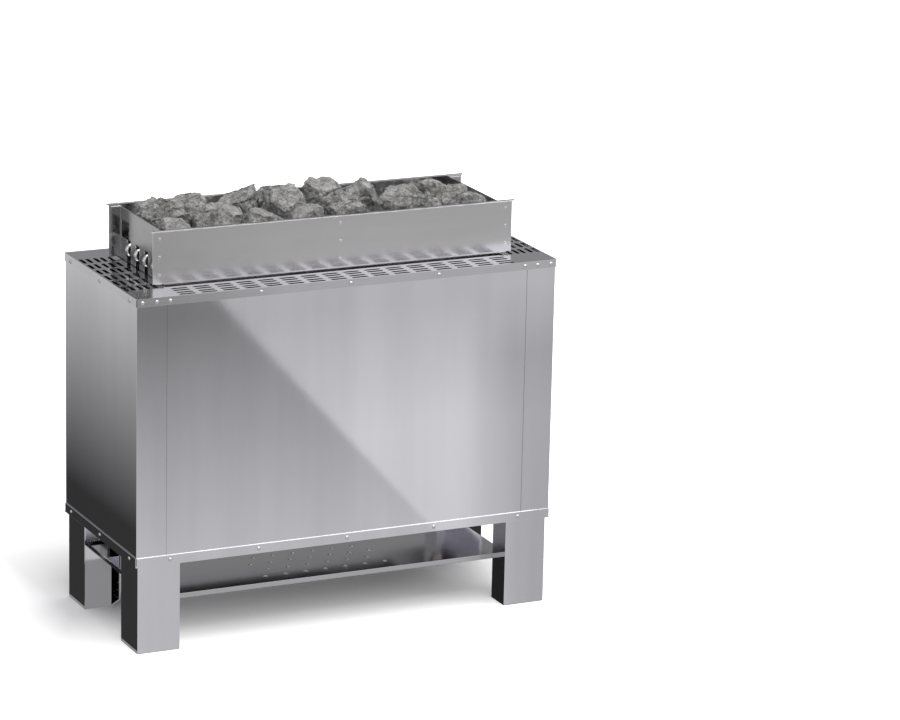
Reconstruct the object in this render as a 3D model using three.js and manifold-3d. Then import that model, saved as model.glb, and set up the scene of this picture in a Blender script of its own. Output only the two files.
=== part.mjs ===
// Electric sauna heater with an open stone tray on four folded legs.
// Millimetres, +Z up, the front faces -Y, the origin is on the floor under the middle of the casing.
import * as THREE from "three";
import { mergeVertices } from "three/addons/utils/BufferGeometryUtils.js";
import { ConvexGeometry } from "three/addons/geometries/ConvexGeometry.js";
import Module from "manifold-3d";

// Sizes of the casing
const CASE_W = 700;
const CASE_D = 306;
const CASE_H = 421;
const SHEET = 1.2;
const FRAME_T = 2;
const GAP = 0.3;
const DECK_SKIRT = 13;
const BASE_SKIRT = 15;
const CORNER_SLIT = 1.6;
const SEAM_RETURN = 50;
const HEM = 12;

// Sizes of the legs and the shelf
const LEG_H = 140;
const LEG_W = 69;
const LEG_RETURN = 45;
const LEG_INSET = 5;
const FOOT_HOLE_D = 10;
const LEG_SLOPE_RISE = 39;
const SHELF_Z = 73;
const SHELF_LIP = 8;
const SHELF_HOLE_D = 9;
const SHELF_HOLE_PITCH = 34;
const SHELF_HOLE_COLUMNS = 7;
const SHELF_HOLE_ROWS = 6;

// Sizes of the base frame
const BASE_FLANGE = 40;
const BASE_GUSSET = 48;
const BASE_BAR = 18;

// Sizes of the slotted deck
const SLOT_L = 27.5;
const SLOT_W = 6;
const SLOT_PITCH = 35.4;
const SLOT_EDGE = 6.4;
const SLOT_PAIR = 10.7;
const SLOT_PAIR_STEP = 23.4;
const SLOT_LAND = 4;
const SLOT_END_X = 70;
const SLOT_END_Y = 48;
const SLOT_ARC_STEPS = 3;
const DECK_GAP = 8;
const DECK_END_GAP = 3;
const DECK_LIP = 10;

// Sizes of the inner frame and the heat shields
const POST_LEG = 30;
const CROSS_LEG = 40;
const CROSS_DROP = 30;
const RAIL_RISE = 22;
const SHIELD_OFFSET = 20;
const SHIELD_RISE = 50;
const SHIELD_CLEAR = 8;

// Sizes of the stone tray
const TRAY_L = 600;
const TRAY_D = 185;
const TRAY_RISE = 86;
const TRAY_DROP = 45;
const TRAY_T = 1.5;
const TRAY_RIM = 5;
const TRAY_RIM_OVER = 3;
const TRAY_FLANGE = 16;
const TRAY_EAR_CLEAR = 3;
const END_INSET = 20;
const END_TOP_DROP = 2;
const END_FLANGE = 17;
const WINDOW_W = 31;
const WINDOW_H = 28;
const WINDOW_CORNER = 7;
const WINDOW_Z = 35;
const DIVIDER_FLANGE = 16;
const DIVIDER_TOP_DROP = 5;
const GRATE_T = 3;
const GRATE_SLOT_L = 44;
const GRATE_SLOT_W = 10;
const GRATE_SLOT_PITCH_X = 58;
const GRATE_SLOT_PITCH_Y = 18;
const GRATE_LAND = 9;

// Sizes of the heating elements
const ELEMENT_COUNT = 4;
const ELEMENT_D = 8;
const ELEMENT_PITCH = 36;
const ELEMENT_RISE = 14;
const ELEMENT_PAIR = 14;
const ELEMENT_REACH = 8;
const ELEMENT_BEND = 12;
const ELEMENT_CLEAR = 4;
const LEAD_INSET = 18;
const LEAD_PITCH = 22;
const LEAD_CLEAR = 1;
const LEAD_TAIL = 25;
const TUBE_SIDES = 8;
const BEND_STEPS = 5;

// Sizes of the terminal box
const BOX_H = 90;
const BOX_MARGIN = 25;
const BOX_SEAT = 9;
const COVER_LAP = 6;
const BLOCK_L = 124;
const BLOCK_W = 22;
const BLOCK_H = 14;
const BLOCK_FIN = 10;
const BLOCK_FIN_T = 3;
const BLOCK_POLES = 6;
const BLOCK_RISE = 28;
const GLAND_BORE = 12;
const GLAND_THREAD_D = 20;
const GLAND_FLANGE_D = 27;
const GLAND_FLANGE_H = 6;
const GLAND_CAP_D = 23;
const GLAND_CAP_H = 14;
const GLAND_TAIL = 11;
const GLAND_Y = 55;

// Sizes of the stones
const STONE_ROWS = [4, 3, 4];
const STONE_LENGTH = 112;
const STONE_WIDTH = 84;
const STONE_HEIGHT = 90;
const STONE_SPREAD = 0.14;
const STONE_JITTER = 9;
const STONE_LIFT = 32;
const STONE_CROWN = 6;
const STONE_GAP = 1;
const STONE_CHIPS = 11;
const STONE_CHIP_NEAR = 0.58;
const STONE_CHIP_FAR = 0.86;
const STONE_DETAIL = 2;
const STONE_SEED = 20;

const ROUND_SIDES = 16;
const HOLE_SIDES = 8;
const WELD = 1e-3;
const CUT_OVER = 1;

// Places that several pieces share
const halfW = CASE_W / 2;
const halfD = CASE_D / 2;
const deckTop = LEG_H + CASE_H;
const skinX = halfW - SHEET - GAP;
const skinY = halfD - SHEET - GAP;
const innerX = skinX - SHEET;
const innerY = skinY - SHEET;
const baseTop = LEG_H + FRAME_T;
const panelBottom = baseTop + GAP;
const panelTop = deckTop - SHEET - GAP;
const postX = innerX - GAP;
const postY = innerY - GAP;
const crossX = postX - FRAME_T - GAP;
const trayTop = deckTop + TRAY_RISE - TRAY_T;
const trayBottom = deckTop - TRAY_DROP;
const trayFloor = trayBottom + TRAY_T + GAP;
const railTop = trayBottom - GAP;
const crossTop = railTop - FRAME_T - GAP;
const endX = TRAY_L / 2 - END_INSET;
const openX = endX + DECK_END_GAP;
const openY = TRAY_D / 2 + DECK_GAP;
const wallY = TRAY_D / 2 - TRAY_T - GAP;
const grateTop = trayFloor + GRATE_T;
const lowerTubeZ = deckTop + ELEMENT_RISE;
const upperTubeZ = lowerTubeZ + ELEMENT_PAIR;
const outerLeadX = endX - LEAD_INSET;
const innerLeadX = outerLeadX - LEAD_PITCH;
const elementYs = centred(ELEMENT_COUNT, ELEMENT_PITCH);
const boxX0 = innerLeadX - BOX_MARGIN;
const boxX1 = outerLeadX + BOX_MARGIN;
const boxY = Math.max(...elementYs) + BOX_MARGIN;
const boxTop = panelBottom + BOX_H;

const wasm = await Module();
wasm.setup();

// Finishes, by what the photograph shows
const finish = (color, roughness, metalness) =>
  new THREE.MeshStandardMaterial({ color, roughness, metalness });
const polishedSteel = finish(0xb4b4b8, 0.28, 1);
const trayStainless = finish(0xa2a2a6, 0.34, 1);
const frameSteel = finish(0x8d8f92, 0.5, 1);
const elementAlloy = finish(0xc9c9c6, 0.3, 1);
const ceramic = finish(0xe6e1d6, 0.55, 0);
const glandBrass = finish(0xb9b5a8, 0.35, 1);
const greyStone = finish(0x85827e, 0.95, 0);

const heater = new THREE.Group();
heater.name = "sauna_heater";

// Helpers: points, patterns and solids
function pt(u, v) {
  return new THREE.Vector2(u, v);
}

function centred(count, pitch) {
  return Array.from({ length: count }, (_, i) => (i - (count - 1) / 2) * pitch);
}

function fitted(span, length, pitch) {
  return centred(Math.max(1, Math.floor((span - length) / pitch) + 1), pitch);
}

function rectangle(x0, x1, y0, y1) {
  return [pt(x0, y0), pt(x1, y0), pt(x1, y1), pt(x0, y1)];
}

function circle(x, y, diameter) {
  const path = new THREE.Path();
  path.absarc(x, y, diameter / 2, 0, Math.PI * 2);
  return path.getSpacedPoints(HOLE_SIDES).slice(0, HOLE_SIDES);
}

// A punched slot with round ends, lying along X or along Y
function slot(x, y, length, width, alongX) {
  const radius = width / 2;
  const reach = length / 2 - radius;
  const points = [];
  for (const end of [1, -1]) {
    for (let i = 0; i <= SLOT_ARC_STEPS; i++) {
      const angle = (i / SLOT_ARC_STEPS - 0.5) * Math.PI;
      const u = end * (reach + radius * Math.cos(angle));
      const v = end * radius * Math.sin(angle);
      points.push(alongX ? pt(x + u, y + v) : pt(x - v, y + u));
    }
  }
  return points;
}

function solid(geometry) {
  geometry.deleteAttribute("normal");
  geometry.deleteAttribute("uv");
  const welded = mergeVertices(geometry, WELD);
  return new wasm.Manifold(
    new wasm.Mesh({
      numProp: 3,
      vertProperties: welded.attributes.position.array,
      triVerts: Uint32Array.from(welded.index.array),
    }),
  );
}

function extruded(outline, depth) {
  return new THREE.ExtrudeGeometry(new THREE.Shape(outline), { depth, bevelEnabled: false });
}

// A flat plate drawn in X and Y between two heights, with holes cut right through
function plate(outline, holes, z0, z1) {
  const sheet = solid(extruded(outline, z1 - z0).translate(0, 0, z0));
  const reach = z1 - z0 + 2 * CUT_OVER;
  const cutters = holes.map((hole) => solid(extruded(hole, reach).translate(0, 0, z0 - CUT_OVER)));
  return cutters.length > 0 ? sheet.subtract(joined(cutters)) : sheet;
}

// A section drawn in Y and Z, run along X
function alongX(section, x0, x1) {
  const turn = new THREE.Matrix4().set(0, 0, 1, x0, 1, 0, 0, 0, 0, 1, 0, 0, 0, 0, 0, 1);
  return solid(extruded(section, x1 - x0).applyMatrix4(turn));
}

// A section drawn in X and Z, run along Y
function alongY(section, y0, y1) {
  const turn = new THREE.Matrix4().set(0, 1, 0, 0, 0, 0, 1, y0, 1, 0, 0, 0, 0, 0, 0, 1);
  const swapped = section.map((p) => pt(p.y, p.x));
  return solid(extruded(swapped, y1 - y0).applyMatrix4(turn));
}

function block(x0, x1, y0, y1, z0, z1) {
  return plate(rectangle(x0, x1, y0, y1), [], z0, z1);
}

function joined(solids) {
  return wasm.Manifold.union(solids);
}

// The outline of a folded sheet: its outer line of folds, and that line set off to the left by the sheet
function folded(line, thickness) {
  const normals = line.slice(1).map((p, i) => {
    const along = p.clone().sub(line[i]).normalize();
    return pt(-along.y, along.x);
  });
  const inside = line.map((p, i) => {
    const a = normals[Math.max(i - 1, 0)];
    const b = normals[Math.min(i, normals.length - 1)];
    const mitre = a.clone().add(b).multiplyScalar(thickness / (1 + a.dot(b)));
    return p.clone().add(mitre);
  });
  return [...line, ...inside.reverse()];
}

function add(name, body, material) {
  const made = body.getMesh();
  const geometry = new THREE.BufferGeometry();
  geometry.setAttribute("position", new THREE.BufferAttribute(made.vertProperties, 3));
  geometry.setIndex(new THREE.BufferAttribute(made.triVerts, 1));
  geometry.computeVertexNormals();
  const mesh = new THREE.Mesh(geometry, material);
  mesh.name = name;
  heater.add(mesh);
}

// Skirts: four flaps folded from a plate's edges, open at the corners
function skirts(z0, z1) {
  const runX = halfW - CORNER_SLIT;
  const runY = halfD - CORNER_SLIT;
  return [
    block(-runX, runX, -halfD, -halfD + SHEET, z0, z1),
    block(-runX, runX, halfD - SHEET, halfD, z0, z1),
    block(-halfW, -halfW + SHEET, -runY, runY, z0, z1),
    block(halfW - SHEET, halfW, -runY, runY, z0, z1),
  ];
}

// Legs: an angle with two inward returns, one cut on a slope, closed by a foot plate and a bolting plate
function leg(sideX, sideY) {
  const cornerX = halfW - LEG_INSET;
  const cornerY = halfD - LEG_INSET;
  const place = (p) => pt(sideX * (cornerX - p.x), sideY * (cornerY - p.y));
  const line = [
    pt(LEG_RETURN, LEG_W),
    pt(0, LEG_W),
    pt(0, 0),
    pt(LEG_W, 0),
    pt(LEG_W, LEG_RETURN),
  ];
  const top = LEG_H - GAP;
  const slope = [
    pt(FRAME_T, SHELF_Z + LEG_SLOPE_RISE),
    pt(LEG_RETURN, SHELF_Z),
    pt(LEG_W / 2 + LEG_RETURN / 2, SHELF_Z),
    pt(LEG_W / 2 + LEG_RETURN / 2, LEG_H),
    pt(FRAME_T, LEG_H),
  ].map((p) => pt(sideX * (cornerX - p.x), p.y));
  const cutY = [LEG_W - FRAME_T, LEG_W + FRAME_T].map((v) => sideY * (cornerY - v));
  const cut = alongY(slope, Math.min(...cutY), Math.max(...cutY));
  const inside = [pt(0, 0), pt(LEG_W, 0), pt(LEG_W, LEG_RETURN), pt(LEG_RETURN, LEG_W), pt(0, LEG_W)];
  const foot = inside.map(place);
  const bolt = place(pt(LEG_W / 2, LEG_W / 2));
  const hole = [circle(bolt.x, bolt.y, FOOT_HOLE_D)];
  return joined([
    plate(folded(line, FRAME_T).map(place), [], 0, top).subtract(cut),
    plate(foot, hole, 0, FRAME_T),
    plate(foot, hole, top - FRAME_T, top),
  ]);
}

for (const [depth, sideY] of [["front", -1], ["rear", 1]]) {
  for (const [hand, sideX] of [["left", -1], ["right", 1]]) {
    add(`leg_${depth}_${hand}`, leg(sideX, sideY), polishedSteel);
  }
}

// Shelf: a lipped plate between the free edges of the leg returns, with a field of staggered holes
function shelf() {
  const reachX = halfW - LEG_INSET - LEG_RETURN - GAP;
  const reachY = halfD - LEG_INSET - LEG_RETURN - GAP;
  const rowPitch = SHELF_HOLE_PITCH * Math.sin(Math.PI / 3);
  const holes = centred(SHELF_HOLE_ROWS, rowPitch).flatMap((y, row) =>
    centred(SHELF_HOLE_COLUMNS - (row % 2), SHELF_HOLE_PITCH).map((x) =>
      circle(x, y, SHELF_HOLE_D),
    ),
  );
  const lipZ = SHELF_Z - SHELF_LIP;
  const outline = rectangle(-reachX, reachX, -reachY, reachY);
  const inside = rectangle(-reachX + SHEET, reachX - SHEET, -reachY + SHEET, reachY - SHEET);
  return plate(outline, holes, SHELF_Z - SHEET, SHELF_Z).add(plate(outline, [inside], lipZ, SHELF_Z));
}

add("heat_shield_shelf", shelf(), polishedSteel);

// Base frame: a bottom ring with gusset corners, a service opening under the terminal box, and skirts
function baseFrame() {
  const outline = rectangle(-halfW, halfW, -halfD, halfD);
  const x0 = -halfW + BASE_FLANGE;
  const x1 = boxX0 - BASE_BAR;
  const y1 = halfD - BASE_FLANGE;
  const intake = [
    pt(x0, -y1 + BASE_GUSSET),
    pt(x0 + BASE_GUSSET, -y1),
    pt(x1, -y1),
    pt(x1, y1),
    pt(x0 + BASE_GUSSET, y1),
    pt(x0, y1 - BASE_GUSSET),
  ];
  const service = rectangle(boxX0 + BOX_SEAT, boxX1 - BOX_SEAT, -boxY + BOX_SEAT, boxY - BOX_SEAT);
  const ring = plate(outline, [intake, service], LEG_H, baseTop);
  return joined([ring, ...skirts(LEG_H, LEG_H + BASE_SKIRT)]);
}

add("base_frame", baseFrame(), polishedSteel);

// Panels: the side panels wrap the corners and meet the front and rear panels hem to hem
function sidePanel(side) {
  const end = halfW - SEAM_RETURN + GAP / 2;
  const line = [
    pt(end, skinY - HEM),
    pt(end, skinY),
    pt(skinX, skinY),
    pt(skinX, -skinY),
    pt(end, -skinY),
    pt(end, -skinY + HEM),
  ];
  const outline = folded(line.reverse(), SHEET).map((p) => pt(side * p.x, p.y));
  return plate(outline, [], panelBottom, panelTop);
}

function facePanel(side) {
  const end = halfW - SEAM_RETURN - GAP / 2;
  const line = [pt(-end, skinY - HEM), pt(-end, skinY), pt(end, skinY), pt(end, skinY - HEM)];
  const outline = folded(line.reverse(), SHEET).map((p) => pt(p.x, side * p.y));
  return plate(outline, [], panelBottom, panelTop);
}

add("left_side_panel", sidePanel(-1), polishedSteel);
add("right_side_panel", sidePanel(1), polishedSteel);
add("front_panel", facePanel(-1), polishedSteel);
add("rear_panel", facePanel(1), polishedSteel);

// Deck: punched slots in pairs of rows on all four margins, an opening for the tray, and skirts
function slotRows(band) {
  const rows = [];
  for (let pair = SLOT_EDGE; pair < band; pair += SLOT_PAIR_STEP) {
    for (const row of [pair, pair + SLOT_PAIR]) {
      if (row + SLOT_W / 2 + SLOT_LAND <= band) {
        rows.push(row);
      }
    }
  }
  return rows;
}

function deck() {
  const slots = [];
  const lipX = openX + SHEET;
  const lipY = openY + SHEET;
  for (const row of slotRows(halfD - lipY)) {
    for (const x of fitted(CASE_W - 2 * SLOT_END_X, SLOT_L, SLOT_PITCH)) {
      slots.push(slot(x, row - halfD, SLOT_L, SLOT_W, true));
      slots.push(slot(x, halfD - row, SLOT_L, SLOT_W, true));
    }
  }
  for (const row of slotRows(halfW - lipX)) {
    for (const y of fitted(CASE_D - 2 * SLOT_END_Y, SLOT_L, SLOT_PITCH)) {
      slots.push(slot(row - halfW, y, SLOT_L, SLOT_W, false));
      slots.push(slot(halfW - row, y, SLOT_L, SLOT_W, false));
    }
  }
  const opening = rectangle(-openX, openX, -openY, openY);
  const sheet = plate(
    rectangle(-halfW, halfW, -halfD, halfD),
    [opening, ...slots],
    deckTop - SHEET,
    deckTop,
  );
  const lip = plate(rectangle(-lipX, lipX, -lipY, lipY), [opening], deckTop - DECK_LIP, deckTop);
  return joined([sheet, lip, ...skirts(deckTop - DECK_SKIRT, deckTop)]);
}

add("top_deck", deck(), polishedSteel);

// Inner frame: corner posts, cross members between them, and the rails that cradle the tray
function cornerPost(sideX, sideY) {
  const place = (p) => pt(sideX * (postX - p.x), sideY * (postY - p.y));
  const line = [pt(0, POST_LEG), pt(0, 0), pt(POST_LEG, 0)];
  return plate(folded(line, FRAME_T).map(place), [], panelBottom, panelTop);
}

for (const [depth, sideY] of [["front", -1], ["rear", 1]]) {
  for (const [hand, sideX] of [["left", -1], ["right", 1]]) {
    add(`corner_post_${depth}_${hand}`, cornerPost(sideX, sideY), frameSteel);
  }
}

function crossMember(side) {
  const line = [
    pt(crossX - CROSS_LEG, crossTop),
    pt(crossX, crossTop),
    pt(crossX, crossTop - CROSS_DROP),
  ];
  const section = folded(line.reverse(), FRAME_T).map((p) => pt(side * p.x, p.y));
  const reach = postY - FRAME_T - GAP;
  return alongY(section, -reach, reach);
}

function trayRail(side) {
  const outer = TRAY_D / 2 + GAP + FRAME_T;
  const line = [
    pt(TRAY_D / 2 - TRAY_FLANGE, railTop - FRAME_T),
    pt(outer, railTop - FRAME_T),
    pt(outer, railTop + RAIL_RISE),
  ];
  const section = folded(line, FRAME_T).map((p) => pt(side * p.x, p.y));
  return alongX(section, -crossX, crossX);
}

add("cross_member_left", crossMember(-1), frameSteel);
add("cross_member_right", crossMember(1), frameSteel);
add("tray_rail_front", trayRail(-1), frameSteel);
add("tray_rail_rear", trayRail(1), frameSteel);

// Heat shields: channels set off from the outer panels by their flanges
function shieldSection(face, side) {
  const bottom = LEG_H + SHIELD_RISE;
  const top = crossTop - CROSS_DROP - SHIELD_CLEAR;
  const line = [
    pt(face, bottom),
    pt(face - SHIELD_OFFSET, bottom),
    pt(face - SHIELD_OFFSET, top),
    pt(face, top),
  ];
  return folded(line.reverse(), SHEET).map((p) => pt(side * p.x, p.y));
}

const faceShieldX = halfW - SEAM_RETURN - SHEET - SHIELD_CLEAR;
const sideShieldY = postY - POST_LEG - SHIELD_CLEAR;
for (const [name, side] of [["front", -1], ["rear", 1]]) {
  const section = shieldSection(innerY - GAP, side);
  add(`inner_shield_${name}`, alongX(section, -faceShieldX, faceShieldX), frameSteel);
}
for (const [name, side] of [["left", -1], ["right", 1]]) {
  const section = shieldSection(innerX - GAP, side);
  add(`inner_shield_${name}`, alongY(section, -sideShieldY, sideShieldY), frameSteel);
}

// Tray walls: a rim folded out, a bottom flange folded in, and ears past the end walls above the deck
function trayWall(side) {
  const line = [
    pt(TRAY_D / 2 - TRAY_FLANGE, trayBottom),
    pt(TRAY_D / 2, trayBottom),
    pt(TRAY_D / 2, trayTop),
    pt(TRAY_D / 2 + TRAY_RIM, trayTop),
  ];
  const section = folded(line, TRAY_T).map((p) => pt(side * p.x, p.y));
  const wall = alongX(section, -TRAY_L / 2, TRAY_L / 2);
  const rimEnd = TRAY_L / 2 + TRAY_RIM_OVER;
  const rimY = [TRAY_D / 2 - TRAY_T, TRAY_D / 2 + TRAY_RIM].map((y) => pt(side * y, 0));
  const rim = alongX(
    [
      pt(rimY[0].x, trayTop),
      pt(rimY[1].x, trayTop),
      pt(rimY[1].x, trayTop + TRAY_T),
      pt(rimY[0].x, trayTop + TRAY_T),
    ],
    -rimEnd,
    rimEnd,
  );
  return joined([wall, rim]).subtract(belowEars());
}

function belowEars() {
  const top = deckTop + TRAY_EAR_CLEAR;
  const bottom = trayBottom - TRAY_T;
  const reach = TRAY_D / 2 + TRAY_RIM;
  const outer = TRAY_L / 2 + TRAY_RIM_OVER;
  return joined([
    block(endX + TRAY_T, outer, -reach, reach, bottom, top),
    block(-outer, -endX - TRAY_T, -reach, reach, bottom, top),
  ]);
}

add("tray_front_wall", trayWall(-1), trayStainless);
add("tray_rear_wall", trayWall(1), trayStainless);

// Notches that let the element tubes pass under a cross wall
function elementNotches(x0, x1) {
  const half = ELEMENT_D / 2 + ELEMENT_CLEAR;
  return joined(
    elementYs.map((y) => block(x0, x1, y - half, y + half, trayBottom, upperTubeZ + half)),
  );
}

function trayEnd(side) {
  const flangeX = endX + END_FLANGE;
  const line = [pt(flangeX, wallY), pt(endX, wallY), pt(endX, -wallY), pt(flangeX, -wallY)];
  const outline = folded(line, TRAY_T).map((p) => pt(side * p.x, p.y));
  const wall = plate(outline, [], trayFloor, trayTop - END_TOP_DROP);
  const windowY = TRAY_D / 2 - WINDOW_CORNER;
  const windowZ = deckTop + WINDOW_Z;
  const cuts = joined([
    elementNotches(endX - TRAY_T, endX + 2 * TRAY_T),
    block(endX - TRAY_T, endX + 2 * TRAY_T, windowY - WINDOW_W, windowY, windowZ, windowZ + WINDOW_H),
  ]);
  const turned = side > 0 ? cuts : cuts.mirror([1, 0, 0]);
  return wall.subtract(turned).subtract(belowEars());
}

add("tray_left_end", trayEnd(-1), trayStainless);
add("tray_right_end", trayEnd(1), trayStainless);

function trayDivider() {
  const face = TRAY_T / 2;
  const line = [
    pt(face + DIVIDER_FLANGE, -wallY),
    pt(-face, -wallY),
    pt(-face, wallY),
    pt(face + DIVIDER_FLANGE, wallY),
  ];
  const outline = folded(line.reverse(), TRAY_T);
  const wall = plate(outline, [], grateTop + GAP, trayTop - DIVIDER_TOP_DROP);
  return wall.subtract(elementNotches(-TRAY_T, TRAY_T));
}

add("tray_divider", trayDivider(), trayStainless);

// Grate: a slotted floor on the wall flanges, with holes for the element leads
function grate() {
  const reachX = endX - GAP;
  const leadD = ELEMENT_D + 2 * LEAD_CLEAR;
  const leads = elementYs.flatMap((y) => [
    circle(outerLeadX, y, leadD),
    circle(innerLeadX, y, leadD),
  ]);
  const fieldX = innerLeadX - leadD / 2 - GRATE_LAND;
  const spanX = fieldX + reachX - GRATE_LAND;
  const middle = fieldX - spanX / 2;
  const slots = fitted(2 * (wallY - TRAY_FLANGE), GRATE_SLOT_W, GRATE_SLOT_PITCH_Y).flatMap((y) =>
    fitted(spanX, GRATE_SLOT_L, GRATE_SLOT_PITCH_X).map((x) => {
      const [u, v] = [GRATE_SLOT_L / 2, GRATE_SLOT_W / 2];
      return rectangle(middle + x - u, middle + x + u, y - v, y + v);
    }),
  );
  return plate(rectangle(-reachX, reachX, -wallY, wallY), [...leads, ...slots], trayFloor, grateTop);
}

add("stone_grate", grate(), frameSteel);

// A route through corners with round bends, which an extrusion follows station by station
class Route extends THREE.Curve {
  constructor(stations) {
    super();
    this.stations = stations;
  }
  station(u) {
    return Math.round(u * (this.stations.length - 1));
  }
  getPointAt(u, target = new THREE.Vector3()) {
    return target.copy(this.stations[this.station(u)]);
  }
  getTangentAt(u, target = new THREE.Vector3()) {
    const i = this.station(u);
    const before = this.stations[Math.max(i - 1, 0)];
    const after = this.stations[Math.min(i + 1, this.stations.length - 1)];
    return target.subVectors(after, before).normalize();
  }
}

function bentRoute(corners) {
  const stations = [corners[0].at];
  corners.slice(1, -1).forEach(({ at, radius }, i) => {
    const back = corners[i].at.clone().sub(at).normalize();
    const on = corners[i + 2].at.clone().sub(at).normalize();
    const centre = at.clone().addScaledVector(back, radius).addScaledVector(on, radius);
    for (let k = 0; k <= BEND_STEPS; k++) {
      const angle = (k / BEND_STEPS) * (Math.PI / 2);
      const spot = centre.clone();
      spot.addScaledVector(on, -radius * Math.cos(angle));
      spot.addScaledVector(back, -radius * Math.sin(angle));
      stations.push(spot);
    }
  });
  stations.push(corners.at(-1).at);
  const apart = (p, i) => i === 0 || p.distanceTo(stations[i - 1]) > WELD;
  return new Route(stations.filter(apart));
}

// Heating elements: hairpin tubes whose bends come out under the left end wall
function heatingElement(y) {
  const tip = -endX - ELEMENT_REACH + ELEMENT_D / 2;
  const tail = boxTop - LEAD_TAIL;
  const turn = ELEMENT_PAIR / 2;
  const corner = (x, z, radius) => ({ at: new THREE.Vector3(x, y, z), radius });
  const route = bentRoute([
    corner(innerLeadX, tail, 0),
    corner(innerLeadX, lowerTubeZ, ELEMENT_BEND),
    corner(tip, lowerTubeZ, turn),
    corner(tip, upperTubeZ, turn),
    corner(outerLeadX, upperTubeZ, ELEMENT_BEND),
    corner(outerLeadX, tail, 0),
  ]);
  const round = new THREE.Path().absarc(0, 0, ELEMENT_D / 2, 0, Math.PI * 2);
  const section = round.getSpacedPoints(TUBE_SIDES).slice(0, TUBE_SIDES);
  const steps = route.stations.length - 1;
  const settings = { steps, bevelEnabled: false, extrudePath: route };
  return solid(new THREE.ExtrudeGeometry(new THREE.Shape(section), settings));
}

elementYs.forEach((y, i) => add(`heating_element_${i + 1}`, heatingElement(y), elementAlloy));

// Terminal box: a sheet box over the service opening, its cover below, the block and the gland
function terminalBox() {
  const leadD = ELEMENT_D + 2 * LEAD_CLEAR;
  const holes = elementYs.flatMap((y) => [
    circle(outerLeadX, y, leadD),
    circle(innerLeadX, y, leadD),
  ]);
  const outline = rectangle(boxX0, boxX1, -boxY, boxY);
  const inside = rectangle(boxX0 + SHEET, boxX1 - SHEET, -boxY + SHEET, boxY - SHEET);
  const walls = plate(outline, [inside], panelBottom, boxTop);
  return walls.add(plate(outline, holes, boxTop - SHEET, boxTop));
}

function terminalBlock() {
  const bottom = panelBottom + BLOCK_RISE;
  const top = bottom + BLOCK_H;
  const pitch = (BLOCK_L - BLOCK_FIN_T) / BLOCK_POLES;
  const outline = [pt(-BLOCK_L / 2, bottom)];
  outline.push(pt(BLOCK_L / 2, bottom));
  for (const y of centred(BLOCK_POLES + 1, pitch).reverse()) {
    outline.push(pt(y + BLOCK_FIN_T / 2, top));
    outline.push(pt(y + BLOCK_FIN_T / 2, top + BLOCK_FIN));
    outline.push(pt(y - BLOCK_FIN_T / 2, top + BLOCK_FIN));
    outline.push(pt(y - BLOCK_FIN_T / 2, top));
  }
  const near = boxX0 + SHEET + GAP;
  const fins = outline.filter((p, i) => i !== 2 && i !== outline.length - 1);
  return alongX(fins, near, near + BLOCK_W);
}

const glandX = (boxX0 + boxX1) / 2;

function boxCover() {
  const lap = BOX_SEAT - COVER_LAP;
  const outline = rectangle(boxX0 + lap, boxX1 - lap, -boxY + lap, boxY - lap);
  const hole = circle(glandX, GLAND_Y, GLAND_THREAD_D + 2 * GAP + SHEET);
  return plate(outline, [hole], LEG_H - GAP - SHEET, LEG_H - GAP);
}

function cableGland() {
  const seat = LEG_H - 2 * GAP - SHEET;
  const bore = GLAND_BORE / 2;
  const thread = GLAND_THREAD_D / 2;
  const shoulder = seat - GLAND_FLANGE_H;
  const end = shoulder - GLAND_CAP_H;
  const profile = [
    pt(bore, end),
    pt((GLAND_CAP_D + GLAND_BORE) / 4, end),
    pt(GLAND_CAP_D / 2, (end + shoulder) / 2),
    pt(GLAND_CAP_D / 2, shoulder),
    pt(GLAND_FLANGE_D / 2, shoulder),
    pt(GLAND_FLANGE_D / 2, seat),
    pt(thread, seat),
    pt(thread, seat + GLAND_TAIL),
    pt(bore, seat + GLAND_TAIL),
    pt(bore, end),
  ];
  const turned = new THREE.LatheGeometry(profile, ROUND_SIDES).rotateX(Math.PI / 2);
  return solid(turned.translate(glandX, GLAND_Y, 0));
}

add("terminal_box", terminalBox(), frameSteel);
add("terminal_block", terminalBlock(), ceramic);
add("terminal_box_cover", boxCover(), frameSteel);
add("cable_gland", cableGland(), glandBrass);

// Stones: each is a rough ellipsoid, chipped flat, and kept to its own cell between its neighbours
function seededRandom(seed) {
  let state = seed;
  return () => {
    state = (Math.imul(state, 1664525) + 1013904223) >>> 0;
    return state / 2 ** 32;
  };
}

const random = seededRandom(STONE_SEED);
const between = (low, high) => low + (high - low) * random();

function randomTurn() {
  const angles = [0, 0, 0].map(() => between(0, Math.PI * 2));
  return new THREE.Quaternion().setFromEuler(new THREE.Euler(...angles));
}

const stoneFloor = upperTubeZ + ELEMENT_D / 2 + GAP;
const stoneY = wallY - TRAY_T - STONE_GAP;
const stoneX0 = TRAY_T / 2 + STONE_GAP;
const stoneX1 = endX - STONE_GAP;

function stoneCentres(side) {
  const rowPitch = (2 * stoneY) / STONE_ROWS.length;
  return centred(STONE_ROWS.length, rowPitch).flatMap((y, row) => {
    const pitch = (stoneX1 - stoneX0) / STONE_ROWS[row];
    return Array.from({ length: STONE_ROWS[row] }, (_, i) => {
      const x = stoneX0 + (i + 0.5) * pitch;
      const crown = STONE_CROWN * Math.cos((Math.PI * x) / stoneX1);
      return new THREE.Vector3(
        side * (x + between(-STONE_JITTER, STONE_JITTER)),
        y + between(-STONE_JITTER, STONE_JITTER),
        stoneFloor + STONE_LIFT + crown + between(-STONE_JITTER, STONE_JITTER) / 2,
      );
    });
  });
}

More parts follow.
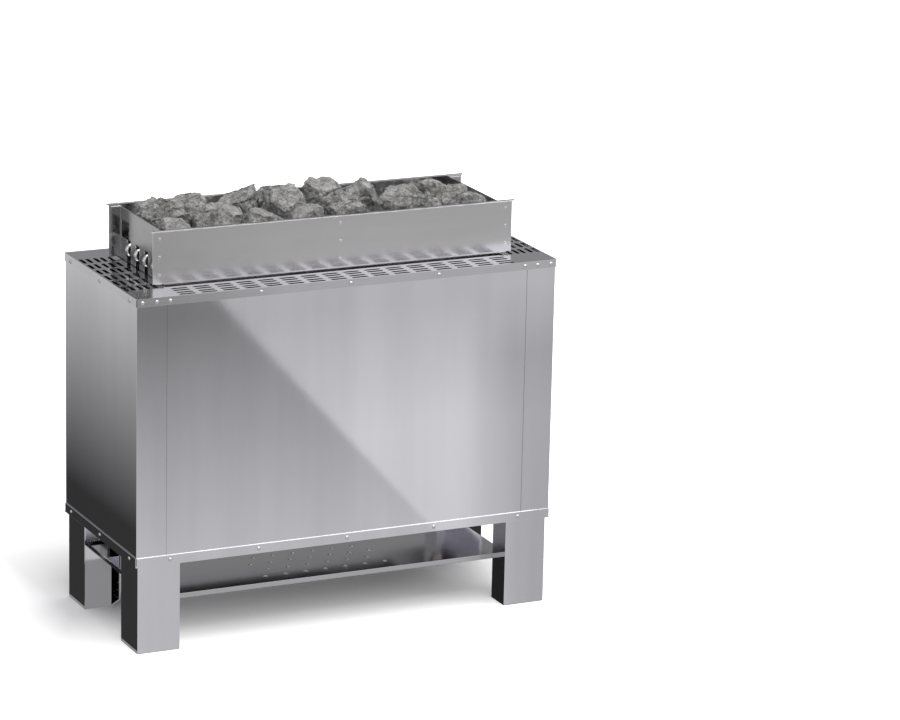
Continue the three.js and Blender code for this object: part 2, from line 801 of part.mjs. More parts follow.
function stone(centre, others, side) {
  const cuts = others.map((other) => {
    const normal = other.clone().sub(centre);
    return { normal: normal.clone().normalize(), reach: (normal.length() - STONE_GAP) / 2 };
  });
  const wall = (x, y, z, reach) => cuts.push({ normal: new THREE.Vector3(x, y, z), reach });
  wall(0, 1, 0, stoneY - centre.y);
  wall(0, -1, 0, stoneY + centre.y);
  wall(0, 0, -1, centre.z - stoneFloor);
  wall(side, 0, 0, stoneX1 - side * centre.x);
  wall(-side, 0, 0, side * centre.x - stoneX0);
  const spread = () => between(1 - STONE_SPREAD, 1 + STONE_SPREAD);
  const radii = [STONE_LENGTH, STONE_WIDTH, STONE_HEIGHT].map((size) => (size / 2) * spread());
  for (let i = 0; i < STONE_CHIPS; i++) {
    const normal = new THREE.Vector3(0, 0, 1).applyQuaternion(randomTurn());
    const size = radii[0] * radii[1] * radii[2];
    const reach = Math.cbrt(size) * between(STONE_CHIP_NEAR, STONE_CHIP_FAR);
    cuts.push({ normal, reach });
  }
  const grain = new THREE.Quaternion().setFromAxisAngle(
    new THREE.Vector3(0, 0, 1),
    between(0, Math.PI),
  );
  const turn = randomTurn();
  const ball = new THREE.IcosahedronGeometry(1, STONE_DETAIL);
  ball.deleteAttribute("normal");
  ball.deleteAttribute("uv");
  const corners = mergeVertices(ball, WELD).attributes.position;
  const points = Array.from({ length: corners.count }, (_, i) => {
    const way = new THREE.Vector3().fromBufferAttribute(corners, i).applyQuaternion(turn);
    const local = way.clone().applyQuaternion(grain);
    const round = 1 / Math.hypot(...local.toArray().map((part, axis) => part / radii[axis]));
    const reach = cuts.reduce((least, { normal, reach: far }) => {
      const lean = normal.dot(way);
      return lean > WELD ? Math.min(least, far / lean) : least;
    }, round);
    return way.multiplyScalar(reach).add(centre);
  });
  return solid(new ConvexGeometry(points));
}

let stoneNumber = 0;
for (const side of [-1, 1]) {
  const centres = stoneCentres(side);
  for (const centre of centres) {
    const others = centres.filter((other) => other !== centre);
    stoneNumber += 1;
    const name = `stone_${String(stoneNumber).padStart(2, "0")}`;
    add(name, stone(centre, others, side), greyStone);
  }
}

export default heater;
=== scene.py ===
# %% [markdown]
# # A sauna heater with an open stone tray
# The heater is a polished sheet casing on folded legs.
# A slotted deck closes the casing, and a riveted tray of broken stones stands in the deck.
# The CAD part is the fixed frame: its sheets keep their shape here and get their finish,
# and the small or rough things, which are the screws, the rivets and the stone surfaces, are made here.

# %% The frame
import math
import random

import bmesh
import bpy
from mathutils import Matrix, Vector, noise


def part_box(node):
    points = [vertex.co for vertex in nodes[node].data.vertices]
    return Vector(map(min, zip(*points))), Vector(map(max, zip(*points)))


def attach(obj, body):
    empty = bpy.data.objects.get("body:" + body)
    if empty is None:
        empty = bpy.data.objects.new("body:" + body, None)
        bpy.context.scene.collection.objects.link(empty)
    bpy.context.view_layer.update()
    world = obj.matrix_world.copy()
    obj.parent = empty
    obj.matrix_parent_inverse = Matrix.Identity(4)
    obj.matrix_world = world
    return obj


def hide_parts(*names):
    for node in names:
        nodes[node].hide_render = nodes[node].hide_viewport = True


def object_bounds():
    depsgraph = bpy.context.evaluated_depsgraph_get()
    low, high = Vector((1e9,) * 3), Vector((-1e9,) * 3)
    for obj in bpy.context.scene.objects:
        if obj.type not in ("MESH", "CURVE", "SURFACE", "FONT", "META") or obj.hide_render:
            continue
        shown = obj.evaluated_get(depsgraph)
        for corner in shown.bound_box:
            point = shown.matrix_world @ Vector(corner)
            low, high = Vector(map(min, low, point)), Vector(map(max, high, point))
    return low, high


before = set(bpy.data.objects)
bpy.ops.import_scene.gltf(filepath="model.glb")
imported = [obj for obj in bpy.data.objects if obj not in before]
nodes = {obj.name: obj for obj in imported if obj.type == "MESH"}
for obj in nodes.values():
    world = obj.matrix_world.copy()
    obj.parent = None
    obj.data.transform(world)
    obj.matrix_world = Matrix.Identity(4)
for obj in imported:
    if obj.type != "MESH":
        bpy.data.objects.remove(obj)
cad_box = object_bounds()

print("frame:", len(nodes), "nodes, box", [tuple(round(v, 3) for v in corner) for corner in cad_box])


# %% [markdown]
# ## Shader helpers
# Every finish is worked out from Object coordinates, in metres, so it stays put on the piece.
# A finish is a short chain of nodes, and these helpers add a node, set its sockets and join it on.
# Nodes could also be placed by hand in the shader editor. In a script the chain can be read in one piece.

# %% Shader helpers
def new_material(name):
    made = bpy.data.materials.new(name)
    made.use_nodes = True
    tree = made.node_tree
    tree.nodes.clear()
    return made, tree


def add(tree, kind, settings=None, **sockets):
    node = tree.nodes.new(kind)
    for key, value in (settings or {}).items():
        setattr(node, key, value)
    for key, value in sockets.items():
        numbered = key[0] == "i" and key[1:].isdigit()
        socket = node.inputs[int(key[1:]) if numbered else key.replace("_", " ")]
        if isinstance(value, bpy.types.NodeSocket):
            tree.links.new(value, socket)
        else:
            socket.default_value = value
    return node


def stretched(tree, scale):
    spot = add(tree, "ShaderNodeTexCoord").outputs["Object"]
    return add(tree, "ShaderNodeMapping", Vector=spot, Scale=scale).outputs["Vector"]


def cloud(tree, vector, scale, detail=4.0, roughness=0.55):
    node = add(tree, "ShaderNodeTexNoise", Vector=vector, Scale=scale, Detail=detail, Roughness=roughness)
    return node.outputs["Fac"]


def spread(tree, value, low, high, start=0.3, stop=0.7):
    node = add(tree, "ShaderNodeMapRange", {"clamp": True}, Value=value, i1=start, i2=stop, i3=low, i4=high)
    return node.outputs[0]


def blend(tree, share, a, b):
    return add(tree, "ShaderNodeMix", {"data_type": "RGBA"}, Factor=share, i6=a, i7=b).outputs[2]


def maths(tree, how, a, b=0.0):
    return add(tree, "ShaderNodeMath", {"operation": how}, i0=a, i1=b).outputs[0]


def product(tree, a, b):
    return maths(tree, "MULTIPLY", a, b)


def bumped(tree, height, strength, depth, **below):
    node = add(tree, "ShaderNodeBump", Strength=strength, Distance=depth, Height=height, **below)
    return node.outputs["Normal"]


def finish_with(tree, surface):
    add(tree, "ShaderNodeOutputMaterial", Surface=surface)


print("shader helpers ready")


# %% [markdown]
# ## Bright stainless sheet
# The casing is rolled stainless sheet with a bright, nearly mirror finish.
# Rolling leaves fine lines along the sheet, so the roughness and a very small bump follow a noise
# that is drawn out along one axis. Handling leaves faint cloudy smears. Folded and cut edges
# get a painted highlight: a rounded normal finds them, and their colour is made lighter there.

# %% Steel finish
# edge_highlight_reach and edge_highlight_tone set the painted highlight on the edges
edge_highlight_reach, line_depth, wave_depth = 0.0014, 0.0002, 0.002
smear_tone, edge_highlight_tone = (0.42, 0.41, 0.40, 1), (0.9, 0.9, 0.9, 1)


def steel(name, colour, rough, grain, lines, smear, edge_highlight=0.5):
    made, tree = new_material(name)
    drawn = stretched(tree, grain)
    fine = cloud(tree, drawn, 1.0, 5.0, 0.6)
    broad = cloud(tree, stretched(tree, tuple(9.0 if g > 100 else 0.8 for g in grain)), 1.0, 3.0)
    haze = cloud(tree, stretched(tree, (1, 1, 1)), 5.5, 5.0, 0.6)
    spots = cloud(tree, stretched(tree, (1, 1, 1)), 38.0, 6.0, 0.7)
    geometry = add(tree, "ShaderNodeNewGeometry").outputs["Normal"]
    rounded = add(tree, "ShaderNodeBevel", {"samples": 4}, Radius=edge_highlight_reach).outputs["Normal"]
    likeness = {"operation": "DOT_PRODUCT"}
    dot = add(tree, "ShaderNodeVectorMath", likeness, i0=geometry, i1=rounded).outputs["Value"]
    edge = spread(tree, dot, edge_highlight, 0.0, 0.8, 0.995)
    dark = tuple(c * 0.9 for c in colour) + (1,)
    tone = blend(tree, spread(tree, broad, 0.0, 1.0, 0.35, 0.65), dark, colour + (1,))
    tone = blend(tree, spread(tree, haze, 0.0, smear, 0.45, 0.75), tone, smear_tone)
    # painted highlight: the edges are blended towards a pale tone
    tone = blend(tree, edge, tone, edge_highlight_tone)
    soft = spread(tree, fine, rough * 0.8, rough * 1.25)
    soft = maths(tree, "ADD", soft, spread(tree, haze, 0.0, smear * 0.35, 0.45, 0.75))
    soft = maths(tree, "ADD", soft, spread(tree, spots, 0.0, smear * 0.2, 0.6, 0.75))
    ripple = bumped(tree, fine, lines, line_depth)
    ripple = bumped(tree, haze, 0.04, wave_depth, Normal=ripple)
    sheet = add(tree, "ShaderNodeBsdfPrincipled", Base_Color=tone, Roughness=soft, Normal=ripple)
    sheet.inputs["Metallic"].default_value = 1.0
    finish_with(tree, sheet.outputs["BSDF"])
    return made


# the width printed is the reach of the painted edge highlight
print("steel finish ready, worn edges", edge_highlight_reach, "m wide")

# %% [markdown]
# The sheets differ in tone, gloss and rolling direction. The panels are rolled upright and nearly
# mirrors, while the deck, the shelf and the tray are rolled along and softer. The frame inside is dull.
# The tray's end walls look darker than the rest in the photograph, so they have a darker copy of the tray's
# steel.
# That darker copy is a painted shade, and its tone is matched to the photograph.
# One function with a few settings each is clearer than eight separate chains of nodes.

# %% Steels of the heater
along_x, along_z = (9, 900, 900), (900, 900, 9)
panel_steel = steel("panel_steel", (0.757, 0.752, 0.796), 0.045, along_z, 0.012, 0.06)
deck_steel = steel("deck_steel", (0.70, 0.695, 0.73), 0.15, along_x, 0.02, 0.2)
shelf_steel = steel("shelf_steel", (0.55, 0.55, 0.575), 0.11, along_x, 0.02, 0.2)
tray_steel = steel("tray_steel", (0.68, 0.67, 0.68), 0.17, along_x, 0.03, 0.2)
# painted shade: the tray's steel, made darker, for the end walls
painted_shade_end_steel = steel("painted_shade_end_steel", (0.42, 0.415, 0.42), 0.19, along_x, 0.03, 0.25)
frame_steel = steel("frame_steel", (0.36, 0.36, 0.37), 0.34, along_x, 0.1, 0.4)
tube_steel = steel("tube_steel", (0.80, 0.79, 0.77), 0.22, along_x, 0.08, 0.35)
screw_steel = steel("screw_steel", (0.62, 0.62, 0.63), 0.2, (400, 400, 400), 0.08, 0.3)
print("steel finishes: 8")


# %% [markdown]
# ## Ceramic and plated brass
# The terminal block is unglazed steatite, off-white and slightly speckled.
# The cable gland is brass under a thin nickel plate, so the steel finish serves with a warmer tone.
# Both stand inside or under the casing, so a plain speckle and a stain are enough.

# %% Ceramic and gland finishes
def ceramic():
    made, tree = new_material("steatite")
    at = stretched(tree, (1, 1, 1))
    speck = cloud(tree, at, 900.0, 3.0)
    stain = cloud(tree, at, 40.0, 5.0)
    tone = blend(tree, spread(tree, stain, 0.0, 0.5), (0.80, 0.76, 0.68, 1), (0.62, 0.56, 0.47, 1))
    tone = blend(tree, spread(tree, speck, 0.0, 0.3, 0.55, 0.7), tone, (0.5, 0.46, 0.4, 1))
    pits = bumped(tree, speck, 0.2, 0.0003)
    dull = spread(tree, stain, 0.5, 0.7)
    body = add(tree, "ShaderNodeBsdfPrincipled", Base_Color=tone, Roughness=dull, Normal=pits)
    finish_with(tree, body.outputs["BSDF"])
    return made


steatite = ceramic()
gland_metal = steel("gland_metal", (0.70, 0.66, 0.56), 0.25, (300, 300, 300), 0.1, 0.4)
print("finishes for the terminal box: 2")


# %% [markdown]
# ## Broken rock
# Sauna stones are broken dark igneous rock: matt, mid grey, with a fine crystal grain,
# paler and darker mineral patches, some rust-brown staining and dark hairline cracks.
# The tone of each stone differs a little, which the object's own random number gives.
# A photograph of rock would repeat on every stone, so the tones are layered from noise instead.
# The bump has four sizes: lumps, patches, grain and crystal pits.

# %% Rock finish
dark_rock, mid_rock, dusty_rock = (0.125, 0.124, 0.122, 1), (0.385, 0.38, 0.37, 1), (0.29, 0.287, 0.282, 1)
pale_patch, deep_patch, pale_grain = (0.60, 0.594, 0.58, 1), (0.035, 0.035, 0.035, 1), (0.40, 0.395, 0.39, 1)
rust, crystal_pit, crack_line = (0.16, 0.14, 0.12, 1), (0.035, 0.035, 0.035, 1), (0.02, 0.02, 0.02, 1)


def rock():
    made, tree = new_material("broken_rock")
    at = stretched(tree, (1, 1, 1))
    each = add(tree, "ShaderNodeObjectInfo").outputs["Random"]
    lumps = cloud(tree, at, 45.0, 8.0, 0.62)
    patch = cloud(tree, at, 105.0, 7.0, 0.68)
    grain = cloud(tree, at, 420.0, 6.0, 0.7)
    stain = cloud(tree, at, 22.0, 5.0)
    crystal = add(tree, "ShaderNodeTexVoronoi", Vector=at, Scale=900.0).outputs["Distance"]
    to_edge = {"feature": "DISTANCE_TO_EDGE"}
    crack = add(tree, "ShaderNodeTexVoronoi", to_edge, Vector=at, Scale=38.0).outputs["Distance"]
    tone = blend(tree, spread(tree, lumps, 0.0, 1.0, 0.32, 0.68), dark_rock, mid_rock)
    layers = (
        (spread(tree, patch, 0.0, 0.75, 0.5, 0.68), pale_patch),
        (spread(tree, patch, 0.75, 0.0, 0.33, 0.45), deep_patch),
        (spread(tree, grain, 0.0, 0.5, 0.44, 0.66), pale_grain),
        (spread(tree, stain, 0.0, 0.28, 0.56, 0.72), rust),
        (spread(tree, crystal, 0.5, 0.0, 0.05, 0.3), crystal_pit),
        (spread(tree, crack, 0.55, 0.0, 0.0, 0.025), crack_line),
        (spread(tree, each, 0.0, 0.28, 0.0, 1.0), dusty_rock),
    )
    for share, colour in layers:
        tone = blend(tree, share, tone, colour)
    rough = bumped(tree, lumps, 0.9, 0.005)
    for height, strength, depth in ((patch, 0.9, 0.004), (grain, 0.8, 0.0016), (crystal, 0.35, 0.0006)):
        rough = bumped(tree, height, strength, depth, Normal=rough)
    dull = spread(tree, grain, 0.78, 0.97)
    body = add(tree, "ShaderNodeBsdfPrincipled", Base_Color=tone, Roughness=dull, Normal=rough)
    body.inputs["Specular IOR Level"].default_value = 0.3
    finish_with(tree, body.outputs["BSDF"])
    return made


broken_rock = rock()
print("rock finish ready, in", len(broken_rock.node_tree.nodes), "nodes")


# %% [markdown]
# ## Finishes on the CAD sheets
# Each CAD sheet keeps its own shape. A small bevel rounds its cut edges and folds,
# as a press brake leaves them, so that they catch the light.
# The CAD triangles are loose, so a weld joins them first: without it no edge lies between two faces,
# and there would be nothing to round. Only edges with a real corner are rounded.
# The tubes are many-sided in the CAD. Their triangles are joined to flat strips, and a subdivision
# surface then turns the strips into round tube.

# %% Dress the CAD nodes
fold_round, fine_round = 0.0005, 0.0004
corner_angle, flat_angle, weld_reach = math.radians(35), math.radians(1), 1e-5


def dress(names, material, edge=fold_round, tube=False):
    for name in names:
        piece = nodes[name]
        if "custom_normal" in piece.data.attributes:
            piece.data.attributes.remove(piece.data.attributes["custom_normal"])
        piece.data.materials.clear()
        piece.data.materials.append(material)
        piece.data.polygons.foreach_set("use_smooth", [tube] * len(piece.data.polygons))
        joined = piece.modifiers.new("joined", "WELD")
        joined.merge_threshold = weld_reach
        if tube:
            strips = piece.modifiers.new("strips", "DECIMATE")
            strips.decimate_type = "DISSOLVE"
            strips.angle_limit = flat_angle
            rounder = piece.modifiers.new("round", "SUBSURF")
            rounder.levels = 2
            rounder.render_levels = 2
        else:
            rounder = piece.modifiers.new("fold", "BEVEL")
            rounder.width = edge
            rounder.segments = 2
            rounder.limit_method = "ANGLE"
            rounder.angle_limit = corner_angle
    print("dressed with", material.name + ":", len(names))


def named(*starts):
    return [name for name in nodes if name.startswith(starts)]


inner_pieces = ("corner_post", "cross_member", "tray_rail", "inner_shield", "stone_grate", "terminal_box")
dress(named("leg_", "front_panel", "rear_panel", "left_side", "right_side", "base_frame"), panel_steel)
dress(["top_deck"], deck_steel, fine_round)
dress(["heat_shield_shelf"], shelf_steel, fine_round)
dress(["tray_front_wall", "tray_rear_wall", "tray_divider"], tray_steel)
# the end walls take the painted shade
dress(["tray_left_end", "tray_right_end"], painted_shade_end_steel)
dress(named(*inner_pieces), frame_steel)
dress(named("heating_element"), tube_steel, tube=True)
dress(["terminal_block"], steatite)
dress(["cable_gland"], gland_metal)


# %% [markdown]
# ## Stones
# A broken stone has flat fracture faces that meet in worn edges, and each face is rough.
# Each stone starts as its CAD solid, which is the flat-faced block. A few fresh breaks are cut
# across its upper corners with planes, and each break is closed with a flat face.
# Cutting with planes gives the large flat faces that noise alone would not.
# One break leans over the top, and six more go round the sides.

# %% Breaks across a stone
top_break, side_break, side_breaks = (0.86, 0.97, 0.62, 0.80), (0.05, 0.9, 0.76, 0.92), 6
merge_reach, sliver = 1e-6, 0.0015


def break_corners(shape, chance):
    middle = sum((v.co for v in shape.verts), Vector()) / len(shape.verts)
    for low, high, near, far in [top_break] + [side_break] * side_breaks:
        around, rise = chance.uniform(0, math.tau), chance.uniform(low, high)
        flat = math.sqrt(1 - rise * rise)
        way = Vector((flat * math.cos(around), flat * math.sin(around), rise))
        reach = max((v.co - middle).dot(way) for v in shape.verts)
        spot = middle + way * reach * chance.uniform(near, far)
        every = shape.verts[:] + shape.edges[:] + shape.faces[:]
        bmesh.ops.bisect_plane(shape, geom=every, plane_co=spot, plane_no=way, clear_outer=True)
        bmesh.ops.holes_fill(shape, edges=[e for e in shape.edges if e.is_boundary], sides=0)
    bmesh.ops.remove_doubles(shape, verts=shape.verts[:], dist=sliver)
    bmesh.ops.triangulate(shape, faces=shape.faces[:])


print("breaks on each stone:", 1 + side_breaks)

# %% [markdown]
# The faces of the broken block are cut finer four times and softened a little on the way,
# so the edges are worn but still plain to see.
# Every point is then pushed along its normal by noise: a lump, a ridge, a facet, a hackly break and
# a grain. A sculpted stone would look as good, but the noise makes each of them different at once.
# The push is mostly inwards, so the stones stay clear of each other and of the tray.

# %% Roughness of a stone
softening = (0.0, 0.1, 0.15, 0.1)
deepest, highest = -0.007, 0.0003


def push_at(at):
    lump = noise.noise(at * 32)
    ridge = noise.ridged_multi_fractal(at * 26, 1.0, 2.1, 4, 1.0, 2.0) - 1.2
    facet = noise.cell(at * 30)
    grain = noise.fractal(at * 190, 0.9, 2.0, 3)
    hackle = noise.fractal(at * 95, 0.75, 2.1, 4)
    push = -0.0020 + 0.0026 * lump + 0.0013 * ridge + 0.0007 * facet + 0.0024 * hackle + 0.0008 * grain
    return max(deepest, min(highest, push))


def roughen(shape, shift):
    every_way = {"use_axis_x": True, "use_axis_y": True, "use_axis_z": True}
    for soften in softening:
        bmesh.ops.subdivide_edges(shape, edges=shape.edges[:], cuts=1, use_grid_fill=True)
        bmesh.ops.smooth_vert(shape, verts=shape.verts[:], factor=soften, **every_way)
    bmesh.ops.triangulate(shape, faces=shape.faces[:])
    bmesh.ops.recalc_face_normals(shape, faces=shape.faces[:])
    shape.normal_update()
    moved = [v.co + v.normal * push_at(v.co + shift) for v in shape.verts]
    for v, spot in zip(shape.verts, moved):
        v.co = spot


print("stone relief from", deepest, "to", highest, "m")

# %% [markdown]
# Twenty-two stones fill the tray in one layer. Each takes the place of its CAD solid and rides on the
# loose body, so the whole layer lifts out together.
# The stone's number seeds its breaks and shifts its noise, so every run gives the same stones.

# %% Build the stones
def place(shape, name, material):
    mesh = bpy.data.meshes.new(name)
    shape.to_mesh(mesh)
    shape.free()
    mesh.polygons.foreach_set("use_smooth", [True] * len(mesh.polygons))
    mesh.materials.append(material)
    made = bpy.data.objects.new(name, mesh)
    bpy.context.scene.collection.objects.link(made)
    return made


def rough_stone(name, index):
    shape = bmesh.new()
    shape.from_mesh(nodes[name].data)
    bmesh.ops.remove_doubles(shape, verts=shape.verts[:], dist=merge_reach)
    break_corners(shape, random.Random(index))
    roughen(shape, Vector((7.3 * index, 3.1 * index, 5.7 * index)))
    made = place(shape, f"rock_{index:02d}", broken_rock)
    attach(made, "stones")
    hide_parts(name)
    return len(made.data.polygons)


stones = sorted(n for n in nodes if n.startswith("stone_") and n != "stone_grate")
faces = [rough_stone(name, index) for index, name in enumerate(stones, 1)]
print("stones:", len(faces), "faces in all:", sum(faces))


# %% [markdown]
# ## Screws and rivets
# The skirts are held by small button-head screws with a round socket.
# The tray is riveted: each head is a low disc with the pit of its broken mandrel.
# A head is a half outline turned about its axis by a spin, then set on the sheet
# along the sheet's outward direction. All the heads on one member are one piece.
# A sphere cut in half would be quicker, but it has no socket and no flat rim.

# %% Turn a head
mm = 0.001
screw_top = [(0, 0.4), (1.3, 0.4), (1.4, 1.4), (2.2, 1.25), (2.8, 0.8), (3.2, 0.2)]
rivet_top = [(0, 0.05), (0.7, 0.05), (0.75, 0.3), (1.5, 0.27), (2.1, 0.17), (2.4, 0.05)]
sunk = -0.3


def turned_head(name, top, steps):
    outline = top + [(top[-1][0], sunk), (0, sunk)]
    shape = bmesh.new()
    points = [shape.verts.new((r * mm, 0, h * mm)) for r, h in outline]
    edges = [shape.edges.new(pair) for pair in zip(points, points[1:])]
    turn = {"cent": (0, 0, 0), "axis": (0, 0, 1), "angle": math.tau, "steps": steps, "use_merge": True}
    bmesh.ops.spin(shape, geom=points + edges, **turn)
    bmesh.ops.remove_doubles(shape, verts=shape.verts[:], dist=merge_reach)
    bmesh.ops.recalc_face_normals(shape, faces=shape.faces[:])
    mesh = bpy.data.meshes.new(name)
    shape.to_mesh(mesh)
    shape.free()
    return mesh


screw = turned_head("screw", screw_top, 16)
rivet = turned_head("rivet", rivet_top, 14)
print("faces of a screw and a rivet:", len(screw.polygons), len(rivet.polygons))

# %% [markdown]
# A row of heads is one mesh: the turned head is copied to each spot and turned to face outwards.
# Smooth shading would blur the rim and the socket, so the edges over 40 degrees are split.

# %% Set heads on a sheet
def heads(name, head, spots, outward, material):
    turn = Vector((0, 0, 1)).rotation_difference(Vector(outward)).to_matrix().to_4x4()
    shape = bmesh.new()
    for spot in spots:
        start = len(shape.verts)
        shape.from_mesh(head)
        shape.verts.ensure_lookup_table()
        bmesh.ops.transform(shape, matrix=Matrix.Translation(spot) @ turn, verts=shape.verts[start:])
    made = place(shape, name, material)
    crisp = made.modifiers.new("crisp", "EDGE_SPLIT")
    crisp.split_angle = math.radians(40)
    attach(made, "heater")
    print(name + ":", len(spots))


# %% [markdown]
# The rows follow the photograph: nine screws along the deck's front skirt, with three close
# together at each corner, five along the base, and three on each side skirt.
# The tray has three rivets over each end wall and over the divider.
# The heights come from the sheets' own boxes, so the rows stay on their skirts.

# %% Place the screws and rivets
deck_low, deck_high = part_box("top_deck")
base_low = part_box("base_frame")[0]
wall_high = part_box("tray_front_wall")[1]
deck_z, base_z = deck_high.z - 7 * mm, base_low.z + 7.5 * mm
side_z = deck_z - 1.5 * mm
deck_xs = [s * x * mm for s in (-1, 1) for x in (148, 295.5, 317, 340)] + [0.0]
base_xs = [s * x * mm for s in (-1, 1) for x in (148, 294)] + [0.0]
side_ys = [-125 * mm, 0.0, 125 * mm]
wall_y, end_x = 92.5 * mm, 281.5 * mm
wall_xs = [x * mm for x in (-289, 8, 289)]
wall_zs = [wall_high.z - d * mm for d in (13, 41, 69)]
end_spots = [(y * mm, deck_high.z + z * mm) for y, z in ((-12, 68), (38, 68), (1, 50), (32, 50))]
for word, y, side in (("front", deck_low.y, -1), ("rear", deck_high.y, 1)):
    spots = [Vector((x, y, deck_z)) for x in deck_xs] + [Vector((x, y, base_z)) for x in base_xs]
    heads(f"screws_{word}", screw, spots, (0, side, 0), screw_steel)
    spots = [Vector((x, side * wall_y, z)) for x in wall_xs for z in wall_zs]
    heads(f"rivets_{word}", rivet, spots, (0, side, 0), tray_steel)
for word, x, side in (("left", deck_low.x, -1), ("right", deck_high.x, 1)):
    spots = [Vector((x, y, z)) for y in side_ys for z in (side_z, base_z)]
    heads(f"screws_{word}", screw, spots, (side, 0, 0), screw_steel)
    spots = [Vector((side * end_x, y, z)) for y, z in end_spots]
    # the rivets on the end walls take the same painted shade
    heads(f"rivets_{word}_end", rivet, spots, (side, 0, 0), painted_shade_end_steel)


# %% [markdown]
# ## Floor, light and camera
# The heater stands on a plain pale floor under a large soft overhead light.
# Bright steel shows what stands around it, so the floor has its own tone for reflections.
# A studio does that with dark and pale cards on the floor. Here the tones lie in the floor's finish,
# where only reflections see them: dark near the sides, paler further away and behind.
# A side panel mirrors a slanting strip of floor, and side_slope is the slant of that strip.

# %% Floor tones at the sides
half_width = cad_box[1][0]
front_line, rear_line, side_slope = -0.15, 0.17, 2.62


def tones_around(tree, x, y, aside):
    beside = spread(tree, aside, 0.04, 0.8, 0.57, 1.28)
    past_rear = maths(tree, "GREATER_THAN", y, rear_line)
    behind = product(tree, past_rear, spread(tree, y, 0.3, 0.62, 0.3, 1.1))
    under = maths(tree, "MAXIMUM", behind, spread(tree, x, 0.34, 0.02, -0.25, 0.0))
    past_side = maths(tree, "GREATER_THAN", aside, half_width)
    drift = product(tree, maths(tree, "SUBTRACT", aside, half_width), side_slope)
    strip = spread(tree, maths(tree, "SUBTRACT", y, drift), 1.0, 0.0, 0.25, 0.5)
    return blend(tree, product(tree, past_side, strip), under, beside)


print("floor tones start", half_width, "m to each side")

# %% [markdown]
# In front, a straight edge between a darker and a paler card draws the slanting line that crosses
# the front panel. The edge and the panel's right end are lines on the floor, x plus a share of y.
# The paler card fades towards the panel's right end, and far away both give way to one mid tone.

# %% Floor tones in front
card_slant, sight_slant, far_tone = 0.1544, 0.4826, (0.5, 0.5, 0.5, 1)


def tones_in_front(tree, x, y):
    slant = maths(tree, "ADD", x, product(tree, y, card_slant))
    darker = spread(tree, y, 0.26, 0.66, -1.95, -0.6)
    on_panel = maths(tree, "ADD", x, product(tree, y, sight_slant))
    right_end = spread(tree, on_panel, 0.0, 0.32, 0.13, 0.23)
    fade = product(tree, right_end, spread(tree, y, 0.0, 1.0, -1.95, -1.5))
    paler = product(tree, spread(tree, y, 0.6, 0.8, -1.9, -1.1), maths(tree, "SUBTRACT", 1.0, fade))
    cards = blend(tree, spread(tree, slant, 0.0, 1.0, 0.249, 0.261), darker, paler)
    return blend(tree, spread(tree, y, 1.0, 0.0, -2.5, -2.1), cards, far_tone)


print("edge of the pale card: x +", card_slant, "y")

# %% [markdown]
# Seen directly, the floor is plain pale paint, and a camera ray sees it fade to white away from the heater.
# A darker patch is painted under the rear. It isn't a shadow that the lights cast: the shelf's holes look
# dark in the photograph, and this patch is what shows through them.
# The soft shadow under the heater is a real one, and a floor lit to pure white would lose it.
# The camera's glow still paints light over that shadow in front of the heater and at its sides, so it stays
# whole only under the rear.

# %% Floor finish
pale_paint, shaded_paint, white = (0.93, 0.93, 0.93, 1), (0.32, 0.32, 0.32, 1), (1, 1, 1, 1)


# painted light: besides the fade with distance, the glow lifts the floor in front of the heater and at its
# sides, over its shadow
def fade_to_white(tree, at, y, aside):
    away = add(tree, "ShaderNodeVectorMath", {"operation": "LENGTH"}, i0=at).outputs["Value"]
    ahead = spread(tree, y, 0.55, 0.0, -0.2, 0.06)
    lift = maths(tree, "MAXIMUM", spread(tree, away, 0.0, 0.9, 0.5, 2.2), ahead)
    return maths(tree, "MAXIMUM", lift, spread(tree, aside, 0.0, 0.75, 0.37, 0.58))


def floor_finish():
    made, tree = new_material("studio_floor")
    at = add(tree, "ShaderNodeTexCoord").outputs["Object"]
    part = add(tree, "ShaderNodeSeparateXYZ", Vector=at)
    x, y = part.outputs["X"], part.outputs["Y"]
    aside = maths(tree, "ABSOLUTE", x)
    in_front = maths(tree, "LESS_THAN", y, front_line)
    mirrored = blend(tree, in_front, tones_around(tree, x, y, aside), tones_in_front(tree, x, y))
    shade = product(tree, spread(tree, y, 0.0, 1.0, 0.06, 0.16), spread(tree, y, 1.0, 0.0, 0.22, 0.4))
    shade = product(tree, shade, spread(tree, aside, 1.0, 0.0, 0.16, 0.4))
    paint = blend(tree, shade, pale_paint, shaded_paint)
    plain = add(tree, "ShaderNodeBsdfDiffuse", Color=paint).outputs["BSDF"]
    path = add(tree, "ShaderNodeLightPath")
    lift = product(tree, path.outputs["Is Camera Ray"], fade_to_white(tree, at, y, aside))
    glare = add(tree, "ShaderNodeEmission", Color=white, Strength=lift).outputs["Emission"]
    plain = add(tree, "ShaderNodeAddShader", i0=plain, i1=glare).outputs["Shader"]
    cards = add(tree, "ShaderNodeEmission", Color=mirrored, Strength=1.0).outputs["Emission"]
    mixed = add(tree, "ShaderNodeMixShader", i0=path.outputs["Is Glossy Ray"], i1=plain, i2=cards)
    finish_with(tree, mixed.outputs["Shader"])
    return made


studio_floor = floor_finish()
print("floor finish ready, in", len(studio_floor.node_tree.nodes), "nodes")

# %% [markdown]
# The floor itself is one large square, level with the soles of the legs.

# %% Floor
shape = bmesh.new()
bmesh.ops.create_grid(shape, x_segments=1, y_segments=1, size=14)
floor = place(shape, "floor", studio_floor)
print("floor:", len(floor.data.polygons), "face")


# %% [markdown]
# One broad softbox hangs over the heater and a weaker one stands to the front right.
# The room itself is an even pale grey, and the camera sees it as white.
# Bright metal sees its front half brighter, as a white wall behind the camera would be,
# and its rear half darker, as an unlit rear wall would be. More lamps would burn out the deck instead.

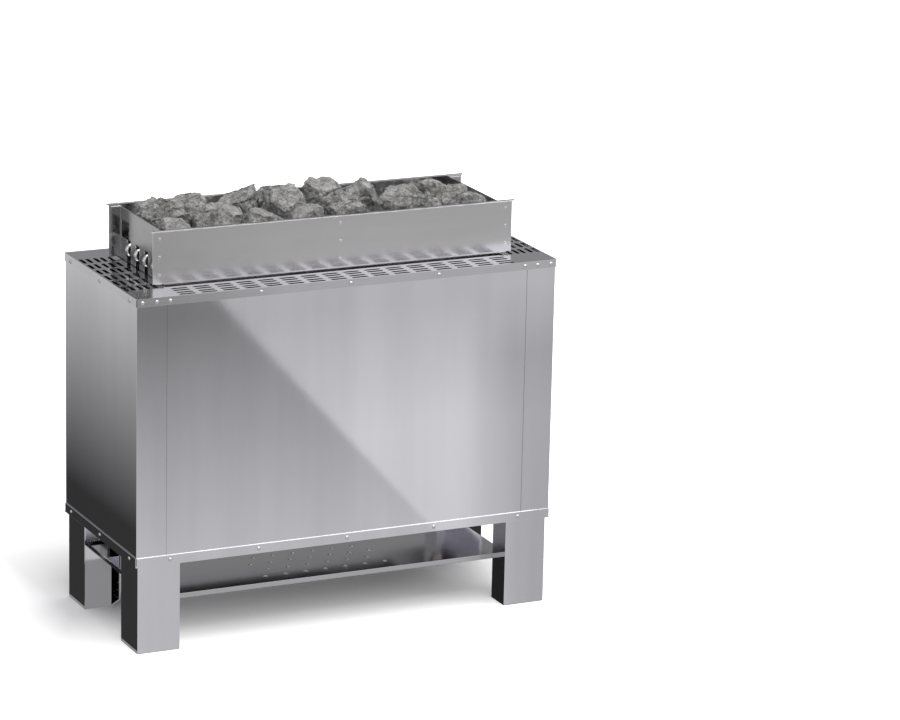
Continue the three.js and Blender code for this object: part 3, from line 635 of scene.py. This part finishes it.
# %% Lights
def softbox(name, at, aim, size, watts):
    data = bpy.data.lights.new(name, "AREA")
    data.shape = "RECTANGLE"
    data.size, data.size_y = size
    data.energy = watts
    made = bpy.data.objects.new(name, data)
    bpy.context.scene.collection.objects.link(made)
    made.location = at
    made.rotation_euler = (Vector(aim) - Vector(at)).to_track_quat("-Z", "Y").to_euler()
    return made


softbox("overhead", (0.4, -0.6, 3.2), (0, 0, 0.3), (3.4, 3.0), 118)
softbox("front_right", (3.6, -2.4, 2.8), (0, 0, 0.4), (2.6, 2.6), 44)
print("lights: 2")

# %% [markdown]
# The room is the world around the stage. A light path tells which kind of ray looks at it:
# mirrored rays see the bright front and the dim rear, other rays an even grey, and the camera white.

# %% Room
room_grey, bright_front, dim_rear = (0.55, 0.55, 0.56, 1), (1.15, 1.15, 1.17, 1), (0.3, 0.3, 0.305, 1)
world = bpy.data.worlds.new("room")
world.use_nodes = True
room = world.node_tree
room.nodes.clear()
path = add(room, "ShaderNodeLightPath")
mirrored = path.outputs["Is Glossy Ray"]
way = add(room, "ShaderNodeSeparateXYZ", Vector=add(room, "ShaderNodeTexCoord").outputs["Generated"])
ahead = product(room, mirrored, spread(room, way.outputs["Y"], 1.0, 0.0, -0.7, -0.1))
ahead = product(room, ahead, spread(room, way.outputs["Z"], 1.0, 0.0, 0.35, 0.6))
rear = product(room, mirrored, spread(room, way.outputs["Y"], 0.0, 1.0, 0.2, 0.6))
tone = blend(room, ahead, room_grey, bright_front)
tone = blend(room, rear, tone, dim_rear)
tone = blend(room, path.outputs["Is Camera Ray"], tone, white)
back = add(room, "ShaderNodeBackground", Color=tone, Strength=1.0)
add(room, "ShaderNodeOutputWorld", Surface=back.outputs["Background"])
bpy.context.scene.world = world
bpy.context.scene.view_settings.view_transform = "Standard"
print("room ready, in", len(room.nodes), "nodes")


# %% [markdown]
# The camera stands where the photograph was taken from: to the front left and a little above.
# The numbers come from fitting a perspective camera to the casing's edges in the photograph.

# %% Camera
turn, tilt, roll = (math.radians(a) for a in (-25.706, 15.605, 1.302))
aim, aside, above, distance = Vector((0, 0, 0.330)), 0.220649, 0.060444, 6.7334
toward = Vector((math.sin(turn) * math.cos(tilt), -math.cos(turn) * math.cos(tilt), math.sin(tilt)))
level = (-toward).cross(Vector((0, 0, 1))).normalized()
upright = level.cross(-toward)
right = level * math.cos(roll) + upright * math.sin(roll)
up = upright * math.cos(roll) - level * math.sin(roll)
eye = aim + right * aside + up * above + toward * distance
view = Matrix((right, up, toward)).transposed().to_4x4()
camera_data = bpy.data.cameras.new("camera")
camera_data.sensor_width = 36
camera_data.lens = 172
camera = bpy.data.objects.new("camera", camera_data)
bpy.context.scene.collection.objects.link(camera)
camera.matrix_world = Matrix.Translation(eye) @ view
bpy.context.scene.camera = camera
print("camera at", [round(v, 3) for v in eye])
